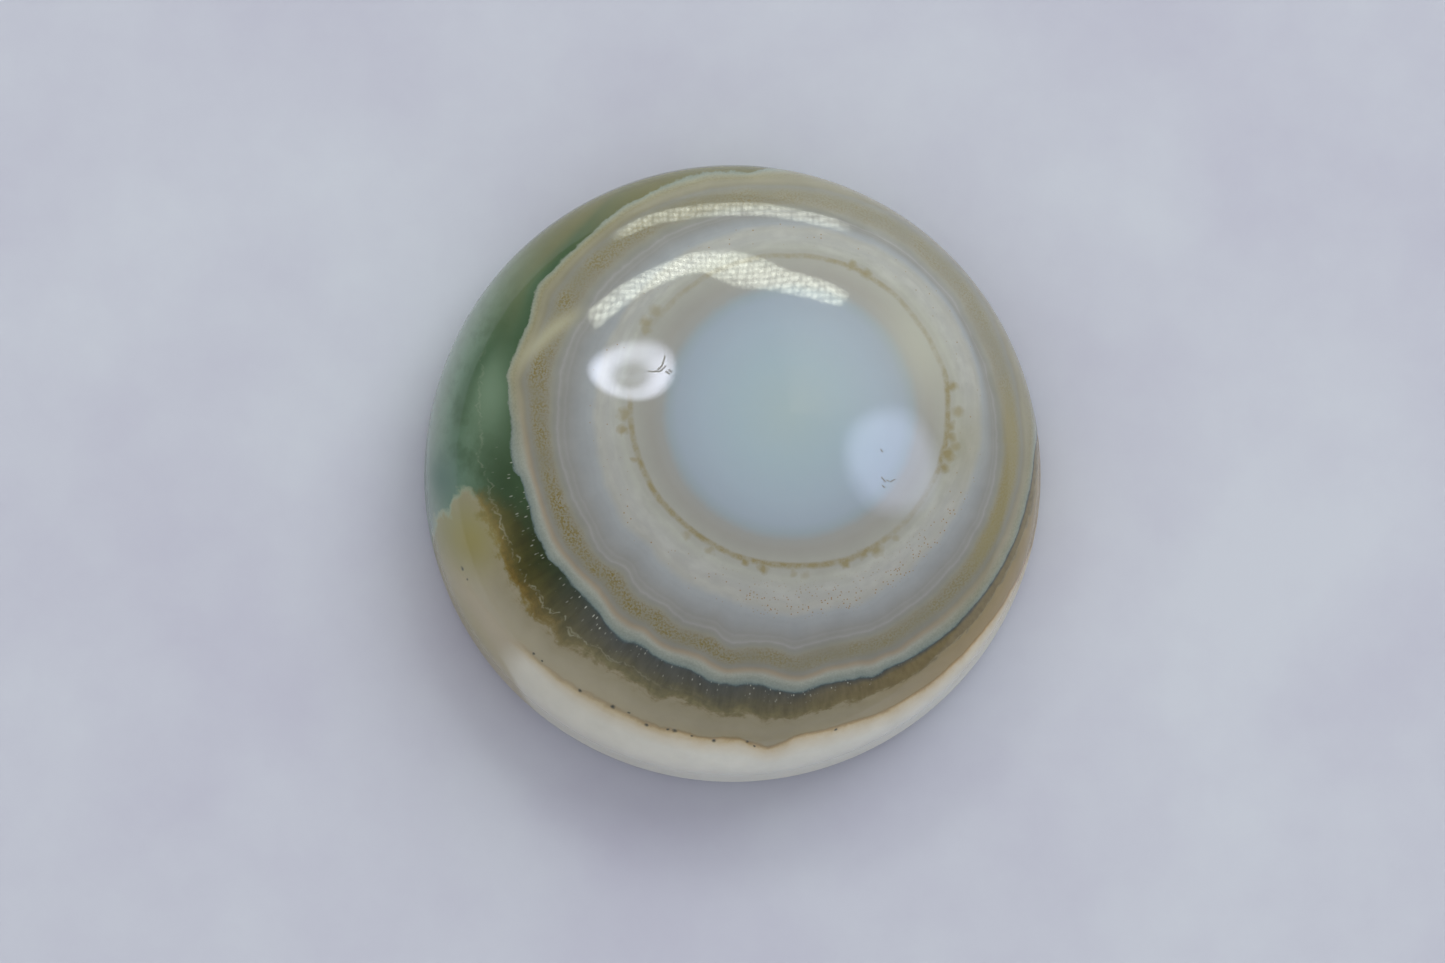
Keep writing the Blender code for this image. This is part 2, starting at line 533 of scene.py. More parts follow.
# Growth, then the whole swing of a ring's waves in millimetres, and of the fringe's jags.
WANDER = (
    (2.6, 0.0), (2.9, 0.12), (3.3, 0.08), (4.1, 0.14), (4.6, 0.30), (5.2, 0.22), (5.9, 0.12), (6.33, 0.16),
    (6.6, 0.22), (7.1, 0.30), (7.4, 0.2), (7.75, 0.16), (8.2, 0.1))
JAGS = (
    (6.1, 0.0), (6.3, 0.16), (6.4, 0.16), (6.8, 0.42), (7.1, 0.72), (7.3, 0.35), (7.6, 0.15), (7.75, 0.15),
    (8.0, 0.0))
print(len(MOSS_BORDER), "readings of the moss border,", len(SEAM_STAIN), "of the stain on the seam")

# %% Masks kept on the mesh
border = np.interp(distance, *np.array(MOSS_BORDER).T)
on_left = (clock > 60) & (clock < 330)
strip_middle = round_the_clock(STRIP, clock)
height = points[:, 2]
radius = np.hypot(points[:, 0], points[:, 1])
MASKS = {
    "moss_gap": np.where(on_left, np.radians(border - clock) * distance, -5.0),
    "moss_softness": np.interp(distance, *np.array(MOSS_SOFTNESS).T),
    "milky": soft_patch(177, 6.85, 8.5, 0.48) + 0.45 * soft_patch(152, 6.75, 6.0, 0.35),
    "strip": round_the_clock(STRIP_DARKNESS, clock)
             * np.exp(-((distance - strip_middle) / STRIP_HALF_WIDTH) ** 2),
    "deep": 0.8 * soft_patch(196, 6.70, 10.0, 0.55),
    "teal": soft_patch(191, 8.00, 4.5, 0.40),
    # A pale rim at the upper left: partly paler stone, partly a painted reflection of the table in the
    # grazing polish.
    "pale_rim_and_sheen": 0.75 * soft_step(radius, 6.22, 6.95) * soft_step(clock, 138, 172),
    "ochre": 0.9 * soft_patch(202, 7.85, 5.4, 0.55) + 0.6 * soft_patch(214, 8.70, 8.0, 0.20),
    "green_tint": 1 - soft_step(clock, 210, 232),
    "brown_tint": soft_step(clock, 256, 300),
    "warm_tan": soft_step(clock, 275, 315) * soft_step(-growth, -7.78, -7.70),
    "vein_shown": round_the_clock(VEIN_SHOWN, clock),
    "fleck_shown": soft_step(clock, 184, 192) * (1 - soft_step(clock, 288, 300)),
    # Painted light: the upper right of the stone, the core most of all, is painted lighter, where the
    # light falls on it.
    "painted_light_side": soft_step(np.cos(np.radians(clock - 42)), 0.35, 0.95)
                 * (1 - 0.75 * soft_step(growth, 3.35, 3.75)),
    "pale_halo": 0.55 * soft_patch(26, 3.20, 22.0, 0.50),
    "lemon": 0.5 * soft_patch(349, 4.00, 13.0, 0.40),
    "olive_top": (1 - soft_step(clock, 134, 172))
                 * np.maximum(soft_step(growth, 6.36, 6.62), 1 - soft_step(clock, 120, 150)),
    "gold_streak": 0.75 * np.exp(-((distance - 5.52 - 0.057 * (clock - 158)) / 0.20) ** 2)
                   * soft_step(clock, 151, 160) * (1 - soft_step(clock, 164, 176)),
    "cool_rim": soft_step(clock, 168, 196) * (1 - 0.7 * soft_step(clock, 292, 324)
                                              - 0.3 * soft_step(clock, 338, 352)),
    # Painted light: a pale veil over the tan on the lower left lifts the shade that falls on that side.
    "painted_fill_veil": 0.4 * soft_step(clock, 198, 206) * (1 - soft_step(clock, 226, 262))
            * soft_step(growth, 7.2, 7.6),
    "green_veil": 0.75 * soft_patch(199, 8.20, 6.0, 0.85),
    "golden": 0.6 * soft_step(np.cos(np.radians(clock - 342)), 0.87, 0.98),
    "grained": 0.5 + 0.6 * soft_step(np.cos(np.radians(clock - 205)), 0.2, 0.9),
    "cream_shown": soft_step(clock, 218, 225) + (clock < 180),
    "rusty": 0.1 + 0.9 * soft_step(np.cos(np.radians(clock - 292)), 0.6, 0.95),
    "stained": round_the_clock(SEAM_STAIN, clock),
    "wander": np.interp(growth, *np.array(WANDER).T),
    "jags": np.interp(growth, *np.array(JAGS).T),
    "on_girdle": 1 - soft_step(height, 1.2, 2.1),
    "on_back": 1 - soft_step(height, 0.02, 0.12),
}
for name, values in {"from_heart": offset, "bearing": bearing, **MASKS}.items():
    keep(stone_mesh, name, values)
print("attributes on the mesh:", len(stone_mesh.attributes))

# %% [markdown]
# The stone itself is polished chalcedony, IOR 1.54. Nearly all its marks start from noise. Noise
# that reads the bearing follows the shells round the heart, noise that reads the place from the
# heart is the same in all directions, and a table gives the size of each one's features.

# %% Noises
jasper = bpy.data.materials.new("polished_banded_chalcedony")
tree = blank_tree(jasper)
share = {name: add(tree, "Attribute", attribute_name=name).outputs["Fac"] for name in MASKS}
heart = add(tree, "Attribute", attribute_name="from_heart").outputs["Vector"]
bearing = add(tree, "Attribute", attribute_name="bearing").outputs["Vector"]
surface_mm = add(tree, "VectorMath", {0: add(tree, "TexCoord").outputs["Object"], "Scale": 1 / MM},
                 operation="SCALE")
# What the noise reads, its features to a millimetre each way, its detail and its roughness. Along
# the bearing they are features to a radian, twice, and to a millimetre of growth.
NOISES = {
    "scallops": (bearing, (6.4, 6.4, 0.8), 5.0, 0.62),
    "jagged_edge": (bearing, (18.0, 18.0, 5.0), 4.0, 0.68),
    "wisps": (bearing, (7.0, 7.0, 4.0), 3.0, 0.5),
    "streaks": (bearing, (56.0, 56.0, 2.4), 2.0, 0.5),
    "short_zigzags": (bearing, (28.0, 28.0, 0.0), 2.0, 0.5),
    "long_zigzags": (bearing, (20.0, 20.0, 0.0), 2.0, 0.5),
    "clouds": (heart, (1.6, 1.6, 1.6), 5.0, 0.6),
    "bends": (heart, (5.0, 5.0, 5.0), 2.0, 0.5),
    "swarms": (heart, (1.6, 1.6, 1.6), 2.0, 0.5),
    "drifts": (heart, (1.6, 1.6, 1.6), 3.0, 0.5),
    "grains": (heart, (21.0, 21.0, 21.0), 2.0, 0.5),
    "border": (heart, (3.2, 3.2, 3.2), 4.0, 0.6),
    "lap_marks": (surface_mm, (14.0, 0.5, 1.0), 3.0, 0.5),
}
noise = {}
for name, (reads, rate, detail, roughness) in NOISES.items():
    place = add(tree, "VectorMath", (reads, rate), operation="MULTIPLY")
    noise[name] = add(tree, "TexNoise", {"Vector": place, "Scale": 1.0, "Detail": detail,
                                         "Roughness": roughness})
print(len(noise), "noises")

# %% [markdown]
# The rings are painted by colour ramps over the growth. Before a ramp reads it, noise pushes the
# growth in and out, so neighbouring rings wave together, as layers laid over the same bump do. The
# edges of the orb and of the smoky band have finer jags as well.

# %% Ring colours
GROWTH_SPAN = 10.0
LOW_JAG = 0.47
grown = add(tree, "SeparateXYZ", (bearing,)).outputs["Z"]
swing = add(tree, "Math", (noise["scallops"], 0.5), operation="SUBTRACT")
waved = add(tree, "Math", (swing, share["wander"], grown), operation="MULTIPLY_ADD")
jag = add(tree, "Math", (noise["jagged_edge"], LOW_JAG), operation="SUBTRACT")
jagged = add(tree, "Math", (jag, share["jags"], waved), operation="MULTIPLY_ADD")
# What each ramp reads, then its stops: growth in millimetres and colour.
RAMPS = {
    "orb": (waved, (
        (0.0, "#a0b1b6"), (1.2, "#9caeb8"), (2.0, "#9aa9b6"), (2.55, "#95a2af"), (2.75, "#909da5"),
        (2.93, "#939695"), (3.14, "#949591"), (3.37, "#979994"), (3.62, "#9b9d97"), (3.80, "#a1a49e"),
        (4.10, "#a0a3a1"), (4.36, "#9fa19d"), (4.52, "#969ca0"), (4.78, "#8e9396"), (5.05, "#8a8c8b"),
        (5.09, "#8e9090"), (5.13, "#888a88"), (5.18, "#888a88"), (5.23, "#929493"), (5.28, "#878985"),
        (5.34, "#868881"), (5.37, "#8b8c83"), (5.44, "#858478"), (5.66, "#848373"), (5.74, "#838377"),
        (5.79, "#83847b"), (5.85, "#868780"))),
    "cool_frost": (jagged, (
        (5.83, "#868780"), (5.88, "#8a877c"), (5.91, "#938a79"), (5.95, "#978f7f"), (6.00, "#99978b"),
        (6.06, "#969b93"), (6.11, "#8f968e"), (6.18, "#868f89"), (6.26, "#808b87"), (6.31, "#71807e"),
        (6.35, "#56676a"))),
    "frost": (jagged, (
        (5.83, "#838170"), (5.92, "#8c8a77"), (5.99, "#8a8874"), (6.10, "#87846b"), (6.20, "#8c8d79"),
        (6.27, "#8a9184"), (6.33, "#7f897c"))),
    "outside": (jagged, (
        (6.33, "#48555a"), (6.39, "#4c504e"), (6.62, "#55564e"), (6.80, "#5e5d4d"), (6.95, "#6a6750"),
        (7.07, "#767256"), (7.14, "#867f66"), (7.20, "#928e78"), (7.45, "#989480"), (7.67, "#9c977f"),
        (7.70, "#928464"), (7.735, "#ac9a76"), (7.77, "#c3b695"), (7.84, "#d0cbb7"), (8.00, "#d8dbd1"),
        (8.70, "#d8dbd1"), (8.84, "#a69d80"))),
    "bottle": (jagged, (
        (6.33, "#2a3823"), (6.45, "#2f391e"), (6.65, "#3d3f1d"), (6.80, "#4a4820"), (6.92, "#585127"),
        (7.02, "#6a5a28"), (7.08, "#786733"), (7.14, "#807850"), (7.20, "#908b72"))),
    "moss": (jagged, (
        (6.33, "#3c553c"), (6.60, "#475f47"), (6.85, "#546d56"), (7.10, "#617b66"), (7.30, "#66826f"))),
}
for name, (reads, stops) in RAMPS.items():
    along = add(tree, "Math", (reads, GROWTH_SPAN), operation="DIVIDE")
    share[name] = add(tree, "ValToRGB", (along,), [(mm / GROWTH_SPAN, colour) for mm, colour in stops])
print(len(RAMPS), "ramps over", GROWTH_SPAN, "mm of growth")

# %% [markdown]
# A thin brown seam of iron runs round the core, with drops that swelled outwards from it. Each
# was read off the stone. The smoky band has a thin white vein, which noise bends into zigzags.

# %% Seam, drops and vein
SEAM_GROWTH = 3.57
SEAM_HALF_WIDTH = 0.06
BEND = 0.22
# Clock angle, distance from the heart, radius and strength of each drop.
DROPS = (
    (181, 3.74, 0.13, 0.55), (186, 3.82, 0.10, 0.65), (197, 3.70, 0.06, 0.5), (230, 3.65, 0.08, 0.35),
    (240, 3.62, 0.09, 0.4), (253, 3.53, 0.08, 0.8), (260, 3.60, 0.10, 0.75), (271, 3.64, 0.07, 0.35),
    (275, 3.72, 0.09, 0.3), (290, 3.65, 0.09, 0.75), (297, 3.61, 0.09, 0.7), (302, 3.69, 0.12, 0.65),
    (310, 3.72, 0.08, 0.35), (340, 3.69, 0.10, 0.75), (345, 3.70, 0.13, 0.8), (348, 3.80, 0.10, 0.5),
    (351, 3.67, 0.10, 0.65), (355, 3.63, 0.09, 0.65), (360, 3.78, 0.12, 0.5), (9, 3.70, 0.11, 0.7),
    (61, 3.58, 0.10, 0.55), (67, 3.60, 0.10, 0.6), (148, 3.84, 0.12, 0.5), (150, 3.76, 0.10, 0.4),
    (143, 3.80, 0.12, 0.35))
from_seam = add(tree, "Math", (waved, SEAM_GROWTH), operation="SUBTRACT")
seam_gap = add(tree, "Math", (from_seam,), operation="ABSOLUTE")
flat_heart = add(tree, "VectorMath", (heart, (1, 1, 0)), operation="MULTIPLY")
bends = noise["bends"].outputs["Color"]
bent_heart = add(tree, "VectorMath", (bends, (BEND, BEND, 0), flat_heart), operation="MULTIPLY_ADD")
share["drop"] = 0.0
for at_clock, at_distance, drop_radius, strength in DROPS:
    turn = math.radians(at_clock)
    middle = (at_distance * math.cos(turn) + BEND / 2, at_distance * math.sin(turn) + BEND / 2, 0)
    gap = add(tree, "VectorMath", (bent_heart, middle), operation="DISTANCE")
    drop = add(tree, "MapRange", (gap, 1.6 * drop_radius, 0.5 * drop_radius, 0.0, strength))
    share["drop"] = add(tree, "Math", (share["drop"], drop), operation="MAXIMUM")

VEIN_GROWTH = 6.86
VEIN_SWING = 0.38
# The noise that bends a strand of the vein, how clear the strand is, and the noise that breaks it.
VEINS = (("short_zigzags", 0.36, "streaks"), ("long_zigzags", 0.28, "jagged_edge"))
share["vein"] = 0.0
for zigzags, clearness, breaks in VEINS:
    strand = add(tree, "Math", (noise[zigzags], VEIN_SWING, VEIN_GROWTH - VEIN_SWING / 2),
                 operation="MULTIPLY_ADD")
    gap = add(tree, "Math", (waved, strand), operation="SUBTRACT")
    gap = add(tree, "Math", (gap,), operation="ABSOLUTE")
    line = add(tree, "MapRange", (gap, 0.025, 0.008, 0.0, clearness))
    for limit in (add(tree, "MapRange", (noise[breaks], 0.44, 0.56)), share["vein_shown"]):
        line = add(tree, "Math", (line, limit), operation="MULTIPLY")
    share["vein"] = add(tree, "Math", (share["vein"], line), operation="MAXIMUM")
print(len(DROPS), "drops and", len(VEINS), "strands of vein")

# %% [markdown]
# The pits are painted dark grey, as painted shade in the open holes. Two wisps of lint lie on
# the dome. A cotton fibre is some 20 micrometres thick, too little to throw a shadow, but it
# stops the polish from reflecting, which draws it as a dark thread across the two round
# reflections. So the finish alone shows it, half as thick again as it is, or it would be lost in
# the whole picture.

# %% Pits and lint
RAGGED = 0.10
ragged = add(tree, "VectorMath", (bends, (RAGGED, RAGGED, 0), surface_mm), operation="MULTIPLY_ADD")
# Where the pits are painted dark, as shade in the holes.
share["pit"] = 0.0
for place, (_, _, vug_radius) in zip(vug_places, VUGS):
    middle = tuple(place + np.array([RAGGED, RAGGED, 0]) / 2)
    gap = add(tree, "VectorMath", (ragged, middle), operation="DISTANCE")
    depth = add(tree, "MapRange", (gap, 1.25 * vug_radius, 0.4 * vug_radius))
    share["pit"] = add(tree, "Math", (share["pit"], depth), operation="MAXIMUM")

LINT_HALF_WIDTH = 0.016
LINT_CLEARNESS = 0.75
# Offsets right and up from the middle of the outline along each fibre, in millimetres.
LINT = (((-1.90, 2.30), (-1.64, 2.30), (-1.52, 2.41)), ((-1.68, 2.35), (-1.60, 2.42), (-1.53, 2.64)),
        ((-1.51, 2.30), (-1.44, 2.25)), ((-1.44, 2.33), (-1.38, 2.28)), ((3.38, -0.10), (3.46, -0.20)),
        ((3.58, -0.20), (3.67, -0.15)), ((3.40, -0.29), (3.45, -0.33)), ((3.50, -0.17), (3.54, -0.18)),
        ((3.36, 0.53), (3.40, 0.48)))
lint_gap = 1.0
for fibre in LINT:
    for start, end in zip(np.array(fibre[:-1]) - HEART, np.array(fibre[1:]) - HEART):
        run = end - start
        past = add(tree, "VectorMath", (flat_heart, (*start, 0)), operation="SUBTRACT")
        along = add(tree, "VectorMath", (past, (*run / (run @ run), 0)), operation="DOT_PRODUCT")
        along = add(tree, "MapRange", (along,))
        nearest = add(tree, "VectorMath", (along, (*run, 0), (*start, 0)), operation="MULTIPLY_ADD")
        gap = add(tree, "VectorMath", (flat_heart, nearest), operation="DISTANCE")
        lint_gap = add(tree, "Math", (lint_gap, gap), operation="MINIMUM")
print(len(VUGS), "pits and", len(LINT), "fibres painted")

# %% [markdown]
# Most marks are a share, between 0 and 1, of some colour: a noise or a gap, kept to a span of the
# growth and to one side of the stone. The pale shell is dusted with rust specks 15 to 35
# micrometres wide, which gather in loose swarms, and the olive shell is grainy. Fibres too fine to
# see streak the smoky stone, and bright flecks hang in it. One table gives the simple shares, and
# another multiplies them.

# %% Where each mark shows
FINE_LAYERS_PER_MM = 4.5
SPECKS_PER_MM = 13.0
FLECK_RATE = (100.0, 100.0, 8.0)
layers = add(tree, "TexNoise", {"W": waved, "Scale": FINE_LAYERS_PER_MM, "Detail": 2.0},
             noise_dimensions="1D")
specks = add(tree, "TexVoronoi", {"Vector": heart, "Scale": SPECKS_PER_MM})
fleck_place = add(tree, "VectorMath", (bearing, FLECK_RATE), operation="MULTIPLY")
flecks = add(tree, "TexVoronoi", {"Vector": fleck_place, "Scale": 1.0})
fleck_pick = add(tree, "SeparateColor", (flecks.outputs["Color"],)).outputs["Green"]
# What a share reads, where it starts and where it is full, and, if not 0 and 1, its values there.
SIMPLE = {
    "frosty": (waved, 5.80, 5.86),
    "layered": (grown, 2.8, 3.8),
    "layer_shade": (layers, 0.3, 0.7, 0.975, 1.025),
    "cloud_shade": (noise["clouds"], 0.3, 0.7, 0.95, 1.05),
    "dark_cloud": (noise["clouds"], 0.54, 0.36, 0.0, 0.5),
    "wispy": (noise["wisps"], 0.50, 0.70, 0.0, 0.38),
    "wisp_start": (waved, 3.62, 3.85),
    "wisp_stop": (waved, 4.55, 4.30),
    "on_seam": (seam_gap, SEAM_HALF_WIDTH + 0.03, SEAM_HALF_WIDTH - 0.03),
    "by_seam": (seam_gap, 0.60, 0.50),
    "patchy": (noise["jagged_edge"], 0.36, 0.6, 0.3, 0.9),
    "in_speck": (specks, 0.27, 0.13),
    "swarm": (noise["swarms"], 0.32, 0.54),
    "speck_start": (waved, 3.80, 4.25),
    "speck_stop": (waved, 4.62, 4.46),
    "grainy": (noise["grains"], 0.43, 0.61),
    "drift": (noise["drifts"], 0.38, 0.62, 0.3, 0.95),
    # Grain is kept off the side that is painted lighter.
    "off_painted_light": (share["painted_light_side"], 0.0, 1.0, 1.0, 0.0),
    "olive_start": (waved, 5.36, 5.50),
    "olive_stop": (waved, 5.82, 5.66),
    "crystals": (noise["grains"], 0.35, 0.65, 0.93, 1.07),
    "crystal_start": (waved, 5.95, 6.10),
    "smoky": (jagged, 7.16, 7.06),
    "brown_start": (jagged, 6.34, 6.60),
    "streak_shade": (noise["streaks"], 0.3, 0.7, 0.87, 1.13),
    "in_tan": (jagged, 7.12, 7.20),
    "in_cream": (jagged, 7.62, 7.70),
    "not_cream": (share["cream_shown"], 0.0, 1.0, 1.0, 0.0),
    "in_fleck": (flecks, 0.30, 0.12),
    "bright": (fleck_pick, 0.50, 0.0),
    "fleck_stop": (grown, 6.75, 6.45),
    "border_shift": (noise["border"], 0.0, 1.0, -0.3, 0.3),
    "border_start": (grown, 7.09, 7.14),
    "in_lint": (lint_gap, 1.5 * LINT_HALF_WIDTH, 0.5 * LINT_HALF_WIDTH, 0.0, LINT_CLEARNESS),
    "on_dome": (share["on_girdle"], 0.0, 1.0, 1.0, 0.0),
    "lapped": (share["on_back"], 0.0, 1.0, 0.0, 0.3),
}
for name, row in SIMPLE.items():
    share[name] = add(tree, "MapRange", row)
print(len(SIMPLE), "simple shares")

# %% Where several shares meet
# Moss starts where its gap, shifted by noise, passes 0, and a pale line runs along that border.
inside = add(tree, "Math", (share["moss_gap"], share["border_shift"]), operation="ADD")
softened = add(tree, "Math", (inside, share["moss_softness"]), operation="DIVIDE")
share["mossy"] = add(tree, "MapRange", (softened, -0.5, 0.5), interpolation_type="SMOOTHSTEP")
share["in_orb"] = add(tree, "MapRange", (jagged, 6.36, 6.31), interpolation_type="SMOOTHSTEP")
border_gap = add(tree, "Math", (inside,), operation="ABSOLUTE")
share["on_border"] = add(tree, "MapRange", (border_gap, 0.13, 0.01, 0.0, 0.5))
speck_pick = add(tree, "SeparateColor", (specks.outputs["Color"],))
likely = add(tree, "Math", (share["swarm"], share["rusty"]), operation="MULTIPLY")
share["chosen"] = add(tree, "Math", (speck_pick, likely), operation="LESS_THAN")

PRODUCTS = {
    "wisp": ("wispy", "wisp_start", "wisp_stop"),
    "seam": ("on_seam", "stained", "patchy"),
    "drops": ("drop", "by_seam"),
    "speck": ("in_speck", "chosen", "speck_start", "speck_stop"),
    "gilded": ("olive_start", "olive_stop", "golden"),
    "grain": ("grainy", "drift", "olive_start", "olive_stop", "off_painted_light", "grained"),
    "brown": ("brown_tint", "smoky", "brown_start"),
    "warm": ("warm_tan", "in_tan"),
    "cream_gone": ("not_cream", "in_cream"),
    "fleck": ("in_fleck", "bright", "fleck_stop", "fleck_shown"),
    "border_line": ("on_border", "border_start"),
    "lint": ("in_lint", "on_dome"),
}
for name, (first, *others) in PRODUCTS.items():
    share[name] = share[first]
    for other in others:
        share[name] = add(tree, "Math", (share[name], share[other]), operation="MULTIPLY")
share["stain"] = add(tree, "Math", (share["seam"], share["drops"]), operation="MAXIMUM")
print(len(share), "masks, ramps and shares to paint with")

# %% [markdown]
# Now the colour, coat by coat. Each coat says where it shows and what it is, a colour or one of the
# ramps and shades above. The frosty rim is cool at the lower left, and warm elsewhere. Outside the
# orb lies smoky clear stone, bottle green on the left and brown where it thins out to the right.
# Next come tan, a rust line with pits, whose dark grey is painted shade in the holes, and cream.
# On the left the same stone is full of moss green threads too fine to see, which gather in clouds.
# The finished orb then lies over all of it.

# %% Coats of colour
COATS = {
    "frost": (("cool_rim", "cool_frost"),),
    "orb": (
        ("frosty", "frost"), ("layered", "layer_shade", "MULTIPLY"),
        # The screen of #34312a is painted light on the upper right.
        ("layered", "cloud_shade", "MULTIPLY"), ("wisp", "#b5b6b4"), ("painted_light_side", "#34312a", "SCREEN"),
        ("pale_halo", "#b2b5a9"), ("lemon", "#8f8e76"), ("stain", "#877d56"), ("speck", "#8e7350"),
        ("grain", "#776b3a"), ("gilded", "#8d8661"), ("gold_streak", "#a9a891"),
        ("crystal_start", "crystals", "MULTIPLY")),
    "moss": (
        ("dark_cloud", "#3a5338"), ("milky", "#6c846e"), ("strip", "#3e5940"), ("deep", "#30452b"),
        # 93a099 at the rim is partly paler stone and partly a painted reflection.
        ("olive_top", "#6b6a45"), ("pale_rim_and_sheen", "#93a099"), ("teal", "#5c766b")),
    "outside": (
        ("green_tint", "bottle"), ("in_tan", "outside"), ("brown", "#746a4c"),
        ("warm", "#f4e2c0", "MULTIPLY"), ("smoky", "streak_shade", "MULTIPLY"),
        # The veil of #b3af9c on the lower left is painted light against the shade there.
        ("cream_gone", "#a49b82"), ("in_tan", "cloud_shade", "MULTIPLY"), ("painted_fill_veil", "#b3af9c"),
        # 525650 in the pits is painted shade in the open holes.
        ("green_veil", "#8b9071"), ("ochre", "#928d5b"), ("pit", "#525650"), ("mossy", "moss"),
        ("border_line", "#9ca994"), ("vein", "#a9ad9b"), ("fleck", "#b4b8ae"), ("in_orb", "orb"),
        ("lint", "#84827f"), ("lapped", "#b9b8ad")),
}
for name, coats in COATS.items():
    painted = share[name]
    for where, paint, *blend in coats:
        painted = add(tree, "Mix", {0: share[where], 6: painted, 7: share.get(paint, paint)},
                      data_type="RGBA", blend_type=(*blend, "MIX")[0])
    share[name] = painted
print(sum(len(coats) for coats in COATS.values()), "coats")

# %% [markdown]
# The dome is mirror smooth, the girdle is only tumbled, and the flat back is left as the lapping
# plate made it: paler, matt, and crossed by fine grinding marks, which a bump gives. Light goes
# a little way into chalcedony before it comes back, which softens the shadows.

# %% Finish
CHALCEDONY_IOR = 1.54
LIGHT_REACH = 1.2
LAP_MARK_DEPTH = 0.03
DOME_ROUGHNESS = 0.04
lap_depth = add(tree, "Math", (noise["lap_marks"], share["on_back"]), operation="MULTIPLY")
bump = add(tree, "Bump", {"Height": lap_depth, "Distance": LAP_MARK_DEPTH * MM, "Strength": 1.0})
rough = DOME_ROUGHNESS
for where, roughness in (("on_girdle", 0.35), ("on_back", 0.45), ("lint", 0.9)):
    rough = add(tree, "MapRange", (share[where], 0.0, 1.0, rough, roughness))
shader = add(tree, "BsdfPrincipled", {
    "Base Color": share["outside"], "Roughness": rough, "IOR": CHALCEDONY_IOR, "Normal": bump,
    "Subsurface Weight": 0.6, "Subsurface Scale": LIGHT_REACH * MM,
    "Subsurface Radius": (1.0, 0.9, 0.8)})
add(tree, "OutputMaterial", {"Surface": shader})
stone_mesh.materials.append(jasper)
print("stone finished with", len(tree.nodes), "nodes")

# %% [markdown]
# The table is plain pale paper with a breath of lavender, matt, and big enough that its edge
# stays out of every view. It has a round opening hidden by the stone's flat back, and it is clear
# from beneath, so the back can be looked at from there with light on it.

# %% Table
TABLE_RADIUS = 400.0
OPENING_RADIUS = 6.62
TABLE_SIDES = 128
PULP_CLOUDS_PER_MM = 0.12
turns = np.linspace(0.0, math.tau, TABLE_SIDES, endpoint=False)
circle = np.stack([np.cos(turns), np.sin(turns), 0 * turns], axis=-1)
here = np.arange(TABLE_SIDES)
beside = (here + 1) % TABLE_SIDES
table_mesh = mesh_of("table", np.concatenate([OPENING_RADIUS * circle, TABLE_RADIUS * circle]),
                     np.stack([here, TABLE_SIDES + here, TABLE_SIDES + beside, beside], axis=-1).tolist())
table = in_scene("table", table_mesh)
paper = bpy.data.materials.new("matt_paper")
tree = blank_tree(paper)
place = add(tree, "VectorMath", {0: add(tree, "TexCoord").outputs["Object"], "Scale": 1 / MM},
            operation="SCALE")
pulp = add(tree, "TexNoise", {"Vector": place, "Scale": PULP_CLOUDS_PER_MM, "Detail": 6.0,
                              "Roughness": 0.6})
sheet = add(tree, "ValToRGB", (pulp,), ((0.36, "#b5b8c9"), (0.64, "#bec4d1")))
shader = add(tree, "BsdfPrincipled", {"Base Color": sheet, "Roughness": 0.9, "Specular IOR Level": 0.2})
beneath = add(tree, "NewGeometry").outputs["Backfacing"]
shown = add(tree, "MixShader", (beneath, shader, add(tree, "BsdfTransparent")))
add(tree, "OutputMaterial", {"Surface": shown})
table_mesh.materials.append(paper)
print("table", 2 * TABLE_RADIUS, "mm across")

# %% [markdown]
# A polished dome is a map of the lamps round it: a lamp lies in the mirror direction of the
# place where its reflection shows. So each lamp here is worked out backwards, as a curved
# screen. A grid of places on the dome gives a grid of mirror directions, and that grid, half a
# metre out, is the lamp. Two long tubes beyond the far side of the table make the two arcs, a
# ring lamp the white highlight on the left, and a window the blue one on the right.

# %% Mirror directions
LAMP_DISTANCE = 500.0
CLOTH_DOTS_PER_MM = 8.0


def dome_normals(x, y):
    """Unit normals of the dome at places on it.

    The superellipse falls by rise / R * s ** (n - 1) * (1 - s ** n) ** (1 / n - 1), s = r / R.
    """
    radius = np.maximum(np.hypot(x, y), 1e-6)
    share = np.clip(radius / DOME_RADIUS, 0.0, 0.999)
    fall = (DOME_RISE / DOME_RADIUS * share ** (DOME_FULLNESS - 1)
            * (1 - share ** DOME_FULLNESS) ** (1 / DOME_FULLNESS - 1))
    normals = np.stack([fall * x / radius, fall * y / radius, np.ones_like(radius)], axis=-1)
    return normals / np.linalg.norm(normals, axis=-1, keepdims=True)


def mirrored(seen):
    """Points of the room, half a metre away, that the dome reflects at the given offsets.

    With n the normal and v the way to the camera, the direction is 2 (n . v) n - v.
    """
    place = place_on_dome(seen)
    normal = dome_normals(place[..., 0], place[..., 1])
    facing = (normal @ view_back)[..., None]
    return LAMP_DISTANCE * (2 * facing * normal - view_back)


